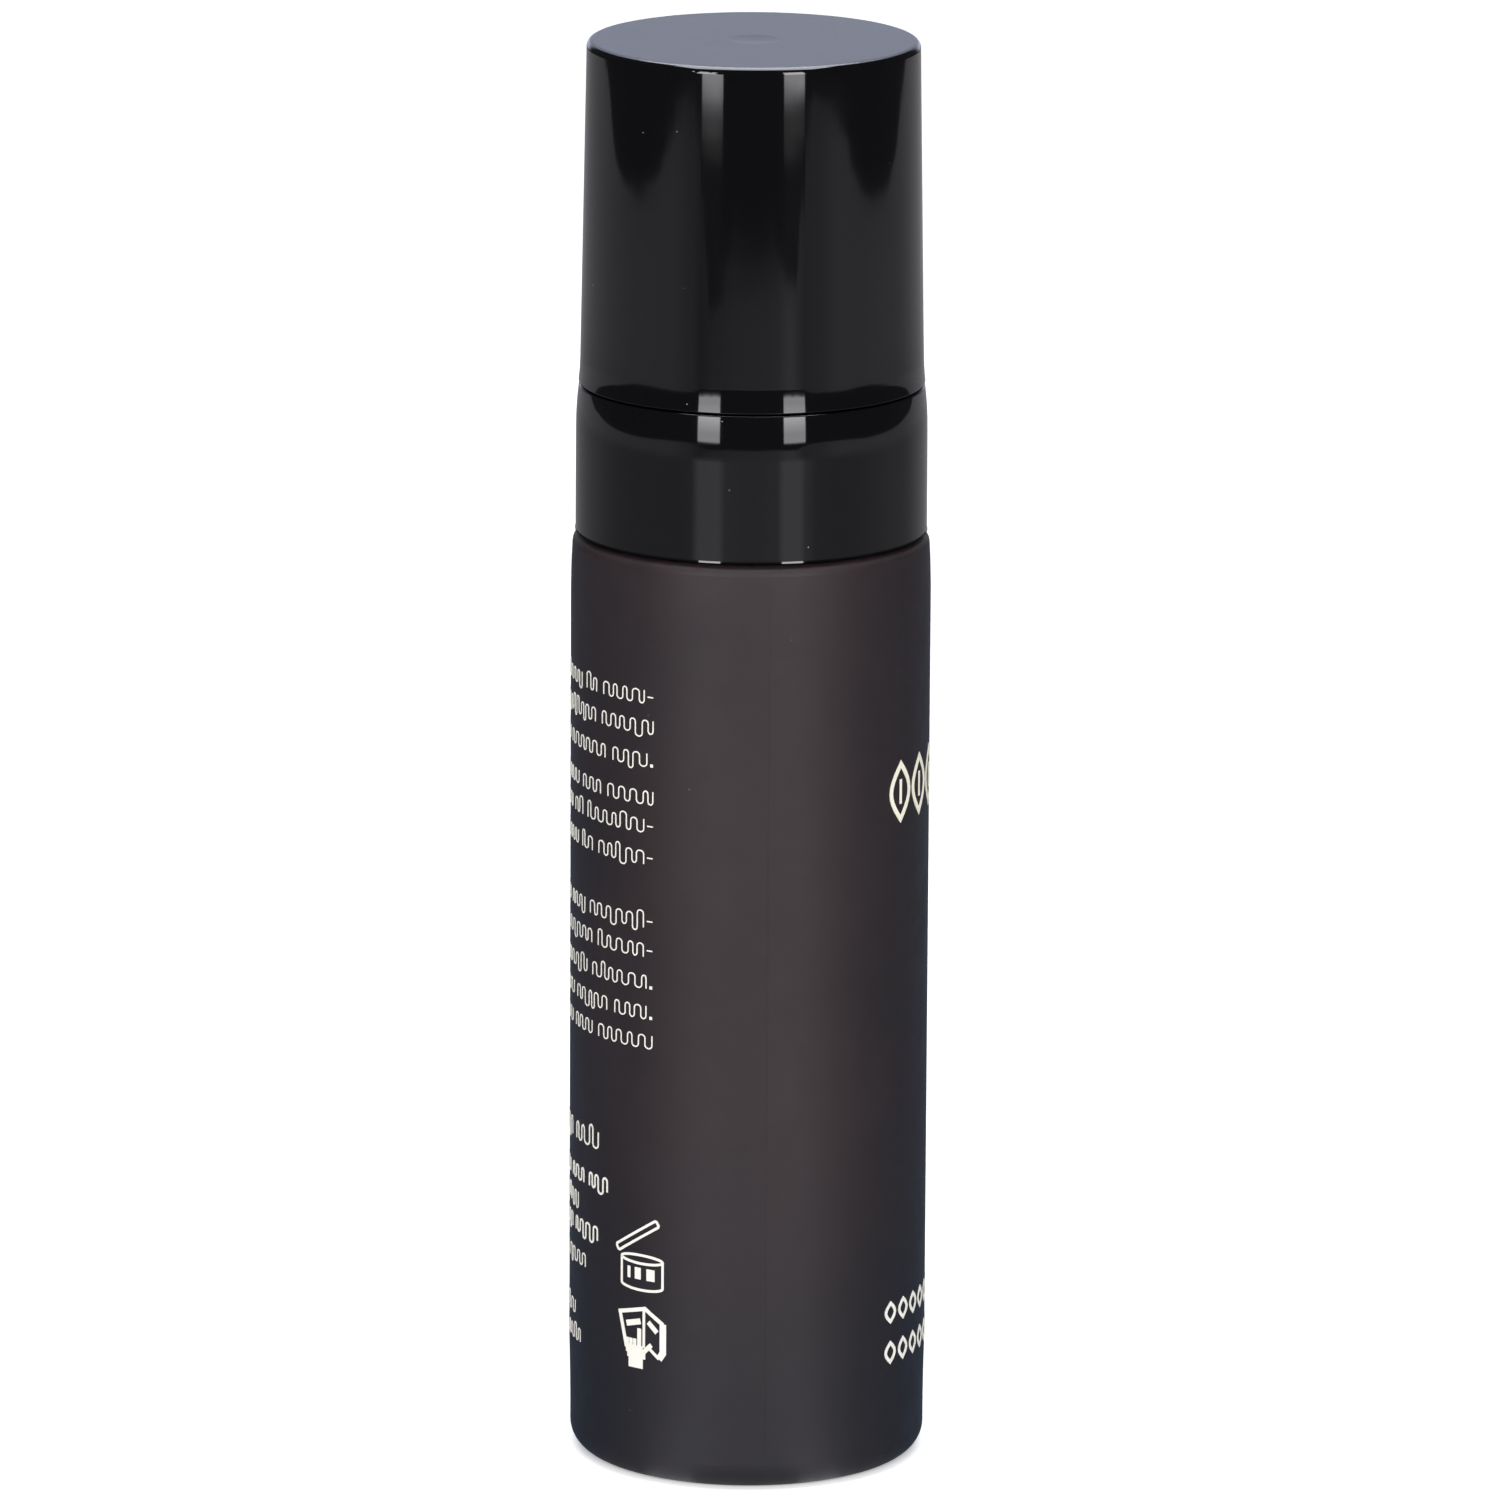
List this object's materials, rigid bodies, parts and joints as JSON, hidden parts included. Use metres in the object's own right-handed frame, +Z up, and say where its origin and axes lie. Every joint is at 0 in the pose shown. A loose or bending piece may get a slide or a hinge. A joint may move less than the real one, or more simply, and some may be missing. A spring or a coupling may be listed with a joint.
{
  "type": "foundation bottle",
  "caption": "Tall round glass bottle with a screw-on lotion pump under a gloss collar and a press-on tapered overcap; pressing the pump doses liquid foundation.",
  "frame": {"origin": "centre of the bottle's base, at the height of the stand ring", "axes": "+Z up along the bottle's axis; -Y is the front, where the main print and the nozzle face; +X is to the right seen from the front"},
  "size_m": [0.03, 0.03, 0.1203],
  "materials": {
    "lacquered_glass": "satin, coloured all through",
    "closure_plastic": "moulded",
    "collar_gloss": "high gloss black",
    "gasket_foam": "soft foam",
    "pump_plastic": "natural moulded",
    "ring_plastic": "natural moulded",
    "stem_plastic": "natural moulded",
    "plug_plastic": "natural moulded",
    "piston_plastic": "soft moulded",
    "spring_steel": "drawn wire",
    "ball_steel": "polished",
    "tube_plastic": "extruded, translucent",
    "actuator_gloss": "high gloss black",
    "core_plastic": "moulded",
    "nozzle_gloss": "high gloss black",
    "cap_gloss": "high gloss black, satin top",
    "liner_plastic": "moulded"
  },
  "bodies": {
    "bottle": {"bottle": "lacquered_glass"},
    "pump_body": {"pump_housing": "pump_plastic", "retaining_ring": "ring_plastic", "neck_gasket": "gasket_foam", "ball_retainer": "ring_plastic", "dip_tube": "tube_plastic", "return_spring": "spring_steel"},
    "closure": {"screw_closure": "closure_plastic", "collar_shell": "collar_gloss"},
    "overcap": {"overcap_shell": "cap_gloss", "overcap_liner": "liner_plastic"},
    "stem": {"pump_stem": "stem_plastic", "stem_plug": "plug_plastic"},
    "actuator": {"actuator_shell": "actuator_gloss", "actuator_core": "core_plastic", "nozzle_tip": "nozzle_gloss"},
    "piston": {"piston": "piston_plastic"},
    "inlet_ball": {"inlet_ball": "ball_steel"}
  },
  "joints": [
    {"name": "closure_turn", "type": "hinge", "parent": "pump_body", "child": "closure", "pos_m": [0, 0, 0.09], "axis": [0, 0, 1], "range_deg": [0, 540]},
    {"name": "cap_lift", "type": "slide", "parent": "closure", "child": "overcap", "axis": [0, 0, 1], "range_m": [0, 0.04]},
    {"name": "pump_press", "type": "slide", "parent": "pump_body", "child": "stem", "axis": [0, 0, -1], "range_m": [0, 0.0042], "stiffness_N_per_m": 1400, "deforming": ["return_spring"]},
    {"name": "actuator_swivel", "type": "hinge", "parent": "stem", "child": "actuator", "pos_m": [0, 0, 0.106], "axis": [0, 0, 1], "continuous": true},
    {"name": "pump_lift", "type": "slide", "parent": "bottle", "child": "pump_body", "axis": [0, 0, 1], "range_m": [0, 0.00477]},
    {"name": "piston_slide", "type": "slide", "parent": "pump_body", "child": "piston", "axis": [0, 0, -1], "range_m": [0, 0.0036]},
    {"name": "inlet_ball_lift", "type": "slide", "parent": "pump_body", "child": "inlet_ball", "axis": [0, 0, 1], "range_m": [0, 0.0006]}
  ],
  "couplings": [
    {"joint": "pump_lift", "follows": "closure_turn", "m_per_rad": 0.00050532},
    {"joint": "piston_slide", "follows": "pump_press", "ratio": 0.858}
  ]
}
